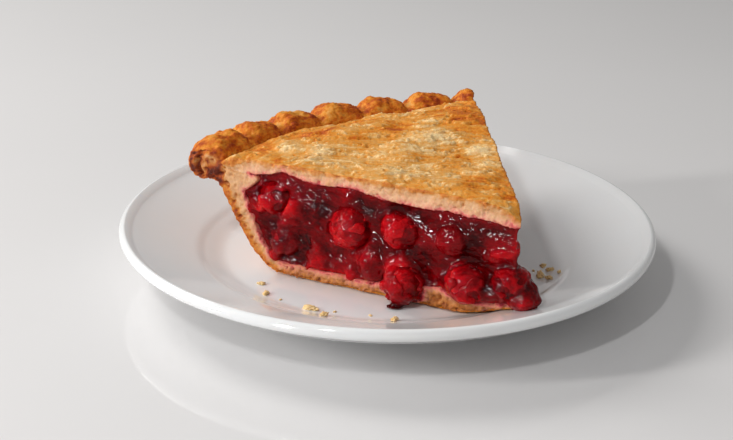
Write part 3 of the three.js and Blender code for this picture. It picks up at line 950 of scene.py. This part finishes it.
@dataclass
class Filling(FinePiece):
    """The thickened filling: fruit pressed against the cut faces under folds of gel."""

    cell: float = 9.5
    cherries: tuple[str, ...] = ()
    bare: tuple[str, ...] = ("cherry_near_1", "cherry_near_2", "cherry_far_1", "cherry_far_3")
    sunk: tuple[str, ...] = (
        "cherry_near_4",
        "cherry_near_5",
        "cherry_near_8",
        "cherry_far_2",
        "cherry_far_4",
    )
    film: float = 0.35
    feet: tuple[tuple[Spot, Spot], ...] = (
        ((46.6, -65.6, 17.6), (6.2, 5.0, 4.0)),
        ((2.6, -53.4, 8.9), (4.4, 3.0, 1.5)),
    )

    def gather(self, bm: bmesh.types.BMesh) -> None:
        """Puts the filling and the cherries under their film of gel into an empty mesh.

        Args:
            bm: The mesh.
        """
        bm.from_mesh(bpy.data.objects[self.node].data)
        for name in self.cherries:
            known = len(bm.verts)
            bm.from_mesh(bpy.data.objects[name].data)
            bm.verts.ensure_lookup_table()
            low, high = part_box(name)
            size = 1.0 + 2.0 * self.film * MM / (high.z - low.z)
            about = Matrix.Translation(-(low + high) / 2)
            bmesh.ops.scale(bm, vec=(size, size, size), space=about, verts=bm.verts[known:])
        for centre, halves in self.feet:
            matrix = Matrix.Translation(Vector(centre) * MM) @ Matrix.Diagonal((*halves, 1.0))
            bmesh.ops.create_icosphere(bm, subdivisions=4, radius=MM, matrix=matrix)

    def fruit(self, points: np.ndarray) -> tuple[np.ndarray, np.ndarray]:
        """Packs round pieces of fruit of many sizes into space.

        Args:
            points: Places in millimetres, one row each.

        Returns:
            For each point how far the fruit beside it swells out, in millimetres, and how deep in
            the fruit it lies, 0 outside and 1 at the middle.
        """
        swell, depth = [], []
        for place in (points / self.cell).tolist():
            out, deep = 0.0, 0.0
            gaps, middles = noise.voronoi(place)
            for gap, middle in zip(gaps[:3], middles):
                number = max(-0.5, noise.cell(middle * 3.7 + Vector((5.2, 1.3, 8.1))))
                size = 0.3 + 0.42 * number
                inside = max(0.0, 1.0 - (gap / size) ** 2) * (1.0 - (gap / gaps[3]) ** 6)
                out += (0.5 * size * self.cell * inside**0.9) ** 3
                deep += (inside * (0.35 + 0.65 * number)) ** 3
            swell.append(out ** (1 / 3))
            depth.append(deep ** (1 / 3))
        return np.array(swell), np.minimum(1.0, depth)

    def sculpt(self, skin: Skin) -> None:
        """Shapes and paints the filling."""
        points = skin.points.copy()
        gap, way = nearest(("bottom_crust", "lid"), skin, 4.0)
        shown = smooth(0.35, 1.4, gap)
        faced = smooth(0.2, 0.6, np.max([skin.normals @ WEDGE.outward(face) for face in Face], axis=0))
        stir = np.column_stack([cloud(points, 8.0, 2, seed) for seed in (1.0, 2.0, 3.0)])
        swell, depth = self.fruit(points * np.array((1.0, 1.0, 1.15)) + 2.6 * stir)
        strands = ridges(points + 2.2 * stir, 3.3, 2, 6.0)
        folds = ridges(points * np.array((1.0, 1.0, 1.5)) + 2.0 * stir, 8.5, 2, 3.0)
        sheet = cloud(points, 13.0, 2, 4.0)
        rise = 0.95 * swell + 1.2 * folds * (1 - depth) + 0.6 * (strands - 0.4) * (0.4 + depth)
        rise += 0.8 * sheet - 1.5

        near_fruit, _ = nearest(self.cherries, skin, 3.0)
        bare_fruit, _ = nearest(self.bare, skin, 3.0)
        sunk_fruit, _ = nearest(self.sunk, skin, 3.0)
        cap = smooth(1.5, 0.5, near_fruit) * faced
        bare, sunk = smooth(1.8, 0.8, bare_fruit), smooth(2.6, 1.0, sunk_fruit)
        cover = smooth(-0.3, -0.06, cloud(points, 6.5, 2, 12.0) - 0.4 * bare + 0.4 * sunk)
        film = 2.9 * cover - 2.2 - 0.6 * bare + 0.35 * strands + (1 - bare) * (0.55 * rise + 0.4)
        rise = rise * (1 - cap) + cap * film
        skin.push(shown * rise + 0.35 * (1 - cap))

        off = np.min([np.abs(points @ WEDGE.outward(face)) for face in Face], axis=0)
        patchy = smooth(-0.15, 0.4, cloud(points, 5.0, 2, 14.0))
        smear = faced * hill(gap, 1.5) * patchy * smooth(3.4, 2.0, off)
        skin.points += (smear * 1.5)[:, None] * way
        for face in Face:
            out = WEDGE.outward(face)
            skin.push(0.9 * smear * smooth(0.3, 0.7, skin.normals @ out), out)
        skin.write()

        tone = 0.12 + 0.6 * depth + 0.14 * folds + 0.16 * (strands - 0.4) + 0.34 * sheet
        tone = tone * (1 - cap) + cap * (0.36 + 0.15 * bare - 0.18 * sunk + 0.5 * tone + 0.12 * strands)
        skin.paint("fruit", tone + 0.24 * hill(gap, 1.4) * faced)


@dataclass
class Cherry(FinePiece):
    """A cooked cherry, puckered and streaked with fibres, half sunk in gel."""

    seed: float = 0.0
    glow: float = 1.0

    def sculpt(self, skin: Skin) -> None:
        """Shapes and paints the cherry."""
        points = skin.points.copy()
        spoke = points - points.mean(0)
        stir = np.column_stack([cloud(points, 6.0, 2, self.seed + seed) for seed in (1.0, 2.0, 3.0)])
        pucker = ridges(points + 2.4 * stir + 40.0 * self.seed, 5.5, 2, self.seed)
        squash = cloud(points, 9.0, 2, self.seed + 3)
        strands = ridges(points + 2.0 * stir, 2.6, 2, self.seed + 5)
        skin.push(0.1 + 0.36 * (pucker - 0.45) + 0.85 * squash + 0.26 * (strands - 0.4))
        skin.write()
        face = Face.NEAR if "near" in self.node else Face.FAR
        # Painted light and shade: the side turned out of the cut face and toward the rim is painted
        # brighter and the far side darker, as the lights fall.
        middle = points.mean(0) * np.array((1.0, 1.0, 0.0))
        lean = 0.8 * WEDGE.outward(face) + 0.6 * middle / np.linalg.norm(middle)
        lit = smooth(-0.2, 0.95, (spoke / np.linalg.norm(spoke, axis=1)[:, None]) @ lean)
        tone = 0.26 + 0.42 * lit + 0.34 * (pucker - 0.45) + 0.34 * (strands - 0.4) + 0.2 * squash
        skin.paint("fruit", self.glow * tone)


@dataclass
class Plate:
    """The turned porcelain plate, with a rounded lip, a shallow well and a foot ring."""

    radius: float = 101.5
    height: float = 22.5
    lip: float = 4.4
    well_edge: float = 70.0
    well_edge_height: float = 11.2
    floor_radius: float = 61.0
    floor_height: float = 8.0
    steps: int = 192
    thickness: float = 4.6

    def top(self, radius: float) -> float:
        """Height of the plate's upper face.

        Args:
            radius: The distance from the plate's centre, in millimetres.

        Returns:
            The height there, in millimetres.
        """
        shoulder = float(smooth(self.floor_radius, self.well_edge + 4, np.array(radius)))
        rise = max(0.0, radius - self.well_edge) / (self.radius - self.well_edge)
        slope = (self.height - 0.4 - self.well_edge_height) * rise**1.12
        return self.floor_height + (self.well_edge_height - self.floor_height) * shoulder + slope

    def under(self, radius: float) -> float:
        """Height of the plate's sloping underside at a distance from its centre, in millimetres."""
        return self.top(radius) - self.thickness + 0.6 * math.exp(-(((radius - 70) / 6) ** 2))

    def outline(self) -> Outline:
        """The half section, from the centre underneath round the lip to the centre on top.

        Returns:
            Distances from the centre with their heights, in millimetres.
        """
        points = [(0.0, 3.0), (30.0, 3.0), (54.5, 3.0), (55.8, 2.6), (56.4, 1.2), (57.0, 0.25)]
        points += [(57.8, 0.0), (60.2, 0.0), (61.0, 0.3), (61.9, 1.5), (63.2, 3.1), (65.0, 4.4)]
        points += [(r, self.under(r)) for r in np.arange(68.0, 96.0, 2.0)]
        half = self.lip / 2
        for step in range(17):
            turn = math.pi * (-0.62 + 1.14 * step / 16)
            out, up = half * math.cos(turn), half * math.sin(turn)
            points.append((self.radius - half + out, self.height - half + up))
        points += [(r, self.top(r)) for r in np.arange(97.0, 58.0, -1.0)]
        points += [(r, self.floor_height) for r in (54.0, 40.0, 20.0, 0.0)]
        return points

    def build(self, finish: bpy.types.Material) -> bpy.types.Object:
        """Builds, dresses and places the plate.

        Args:
            finish: Its glaze.

        Returns:
            The finished plate.
        """
        bm = bmesh.new()
        ring = [bm.verts.new((r * MM, 0.0, z * MM)) for r, z in self.outline()]
        edges = [bm.edges.new(pair) for pair in zip(ring, ring[1:])]
        bmesh.ops.spin(
            bm,
            geom=ring + edges,
            cent=(0, 0, 0),
            axis=(0, 0, 1),
            angle=2 * math.pi,
            steps=self.steps,
            use_merge=True,
        )
        bmesh.ops.remove_doubles(bm, verts=bm.verts, dist=0.001 * MM)
        bmesh.ops.recalc_face_normals(bm, faces=bm.faces)
        for face in bm.faces:
            face.smooth = True
        mesh = bpy.data.meshes.new("plate_glazed")
        bm.to_mesh(mesh)
        bm.free()
        plate = bpy.data.objects.new("plate_glazed", mesh)
        bpy.context.scene.collection.objects.link(plate)
        mesh.materials.append(finish)
        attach(plate, "root")
        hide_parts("plate")
        LOG.info("%s: %d faces", plate.name, len(mesh.polygons))
        return plate


@dataclass
class Crumbs:
    """Loose crumbs of crust, lying on the plate where the slice was set down."""

    plate: Plate
    places: tuple[tuple[float, float, float], ...] = (
        (-43.5, -42.9, 1.15),
        (-45.9, -34.3, 1.0),
        (-27.4, -54.5, 1.5),
        (-25.3, -55.6, 1.0),
        (-22.1, -62.0, 1.25),
        (2.3, -64.3, 1.25),
        (58.9, -14.0, 1.0),
        (61.3, -18.6, 1.2),
        (57.1, -23.4, 1.5),
        (59.5, -27.9, 1.1),
        (63.8, -23.8, 0.8),
        (-38.0, -47.5, 0.45),
        (-18.5, -57.0, 0.5),
        (-6.0, -59.5, 0.5),
        (55.0, -18.5, 0.5),
    )

    def build(self, finish: bpy.types.Material) -> bpy.types.Object:
        """Builds, dresses and places the crumbs as one mesh.

        Args:
            finish: Their pastry.

        Returns:
            The finished crumbs.
        """
        draw = random.Random(5)
        bm = bmesh.new()
        for x, y, size in self.places:
            made = bmesh.ops.create_icosphere(bm, subdivisions=4, radius=size * MM)["verts"]
            seed = draw.uniform(0, 90)
            for vert in made:
                rough = noise.fractal(vert.co * (1100 / size) + Vector((seed, 0, 0)), 0.7, 2.0, 4)
                vert.co *= 1 + 0.75 * rough
            turn = Matrix.Rotation(draw.uniform(0, 6.3), 4, "Z") @ Matrix.Diagonal((1.3, 0.85, 0.55, 1))
            rest = self.plate.top(math.hypot(x, y)) + 0.42 * size
            matrix = Matrix.Translation(Vector((x, y, rest)) * MM) @ turn
            bmesh.ops.transform(bm, verts=made, matrix=matrix)
        for face in bm.faces:
            face.smooth = True
        mesh = bpy.data.meshes.new("crumbs")
        bm.to_mesh(mesh)
        bm.free()
        crumbs = bpy.data.objects.new("crumbs", mesh)
        bpy.context.scene.collection.objects.link(crumbs)
        mesh.materials.append(finish)
        for name, value in (("browning", 0.0), ("cut", 0.0), ("stain", 0.0)):
            layer = mesh.attributes.new(name, "FLOAT", "POINT")
            layer.data.foreach_set("value", np.full(len(mesh.vertices), value, np.float32))
        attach(crumbs, "root")
        LOG.info("%s: %d crumbs", crumbs.name, len(self.places))
        return crumbs


@dataclass
class PieSlice:
    """The slice: its crusts, its filling and the cherries that show."""

    glows: dict[str, float] = field(
        default_factory=lambda: {
            "cherry_near_1": 0.92,
            "cherry_near_2": 1.0,
            "cherry_near_3": 0.6,
            "cherry_near_4": 0.55,
            "cherry_near_5": 0.6,
            "cherry_near_6": 0.95,
            "cherry_near_7": 1.0,
            "cherry_near_8": 0.5,
            "cherry_far_1": 0.9,
            "cherry_far_2": 0.6,
            "cherry_far_3": 1.0,
            "cherry_far_4": 0.7,
            "cherry_tip": 0.9,
        }
    )

    def build(self) -> list[bpy.types.Object]:
        """Builds every piece of the slice.

        Returns:
            The finished pieces.
        """
        crust = Pastry("crust_pastry", shine=0.5).make()
        lid = Pastry("lid_pastry", shine=0.4).make()
        deep, middle = (0.035, 0.0002, 0.0005), (0.23, 0.001, 0.003)
        bright, glow = (0.5, 0.003, 0.007), (0.82, 0.035, 0.028)
        gel = WetFruit("cherry_gel", deep, middle, bright, glow).make()
        flesh = WetFruit("cherry_flesh", deep, middle, bright, glow).make()
        pieces = [
            BottomCrust("bottom_crust", "crust", voxel=0.62).build(crust),
            Lid("lid", "lid", voxel=0.5).build(lid),
            Filling("filling", "filling", soften=8, cherries=tuple(self.glows)).build(gel),
        ]
        for count, (name, glow) in enumerate(self.glows.items()):
            cherry = Cherry(name, "cherry", voxel=0.4, seed=float(count), glow=glow)
            pieces.append(cherry.build(flesh))
        return pieces


@dataclass
class Studio:
    """The table top, the lights and the camera."""

    aim: tuple[float, float, float] = (-7.88, 50.74, 0.0)
    distance: float = 591.8
    elevation: float = 21.677
    roll: float = 0.868
    lens: float = 68.76
    daylight: Colour = (1.0, 0.985, 0.965)
    air: float = 0.29

    def camera(self) -> bpy.types.Object:
        """Sets the camera at the photograph's viewing angle.

        Returns:
            The camera.
        """
        tilt, turn = math.radians(self.elevation), math.radians(self.roll)
        forward = Vector((0, math.cos(tilt), -math.sin(tilt)))
        up = Vector((0, math.sin(tilt), math.cos(tilt)))
        right = Vector((1, 0, 0))
        across = math.cos(turn) * right + math.sin(turn) * up
        above = math.cos(turn) * up - math.sin(turn) * right
        data = bpy.data.cameras.new("camera")
        data.lens = self.lens
        data.sensor_width = 36.0
        camera = bpy.data.objects.new("camera", data)
        bpy.context.scene.collection.objects.link(camera)
        spot = (Vector(self.aim) - forward * self.distance) * MM
        axes = Matrix((across, above, -forward)).transposed().to_4x4()
        camera.matrix_world = Matrix.Translation(spot) @ axes
        bpy.context.scene.camera = camera
        return camera

    def light(
        self,
        name: str,
        spot: Spot,
        size: tuple[float, float],
        power: float,
        tint: Colour = (1, 1, 1),
        gloss_only: bool = False,
    ) -> None:
        """Hangs one soft light, aimed at the slice.

        Args:
            name: The light's name.
            spot: Its place, in metres.
            size: The width and height of its face, in metres.
            power: Its power in watts.
            tint: Its colour.
            gloss_only: Whether it shows in reflections alone.
        """
        data = bpy.data.lights.new(name, "AREA")
        data.shape = "RECTANGLE"
        data.size, data.size_y = size
        data.energy = power
        data.color = tint
        lamp = bpy.data.objects.new(name, data)
        bpy.context.scene.collection.objects.link(lamp)
        lamp.visible_diffuse = not gloss_only
        aim = Vector((0.0, 0.0, 0.03)) - Vector(spot)
        lamp.matrix_world = Matrix.Translation(spot) @ aim.to_track_quat("-Z", "Y").to_matrix().to_4x4()

    def build(self) -> None:
        """Builds the studio."""
        bm = bmesh.new()
        bmesh.ops.create_grid(bm, x_segments=2, y_segments=2, size=4.0)
        mesh = bpy.data.meshes.new("studio_top")
        bm.to_mesh(mesh)
        bm.free()
        mesh.materials.append(StudioTop().make())
        floor = bpy.data.objects.new("studio_top", mesh)
        bpy.context.scene.collection.objects.link(floor)
        world = bpy.data.worlds.new("studio_air")
        world.use_nodes = True
        background = world.node_tree.nodes["Background"]
        background.inputs["Color"].default_value = (1.0, 0.99, 0.98, 1.0)
        background.inputs["Strength"].default_value = self.air
        bpy.context.scene.world = world
        self.light("window", (-0.75, 0.55, 0.8), (0.5, 0.5), 7.6, self.daylight)
        self.light("near_box", (-0.94, -0.32, 0.4), (0.08, 0.26), 5.4, self.daylight)
        self.light("front_card", (0.1, -1.3, 0.2), (0.9, 0.9), 1.0)
        self.light("sparkle", (-0.3, -0.6, 0.7), (0.035, 0.11), 2.0)
        self.light("glint", (-0.62, -0.76, 0.26), (0.075, 0.23), 8.5, gloss_only=True)
        self.camera()
        bpy.context.scene.view_settings.view_transform = "Standard"
        LOG.info("studio ready")


def main() -> None:
    """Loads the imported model, builds the plate and the slice over it and sets the studio."""
    logging.basicConfig(level=logging.INFO, format="%(message)s")
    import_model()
    Studio().build()
    plate = Plate()
    plate.build(Porcelain().make())
    PieSlice().build()
    Crumbs(plate).build(Pastry("crumb_pastry", shine=0.6).make())


if __name__ == "__main__":
    main()
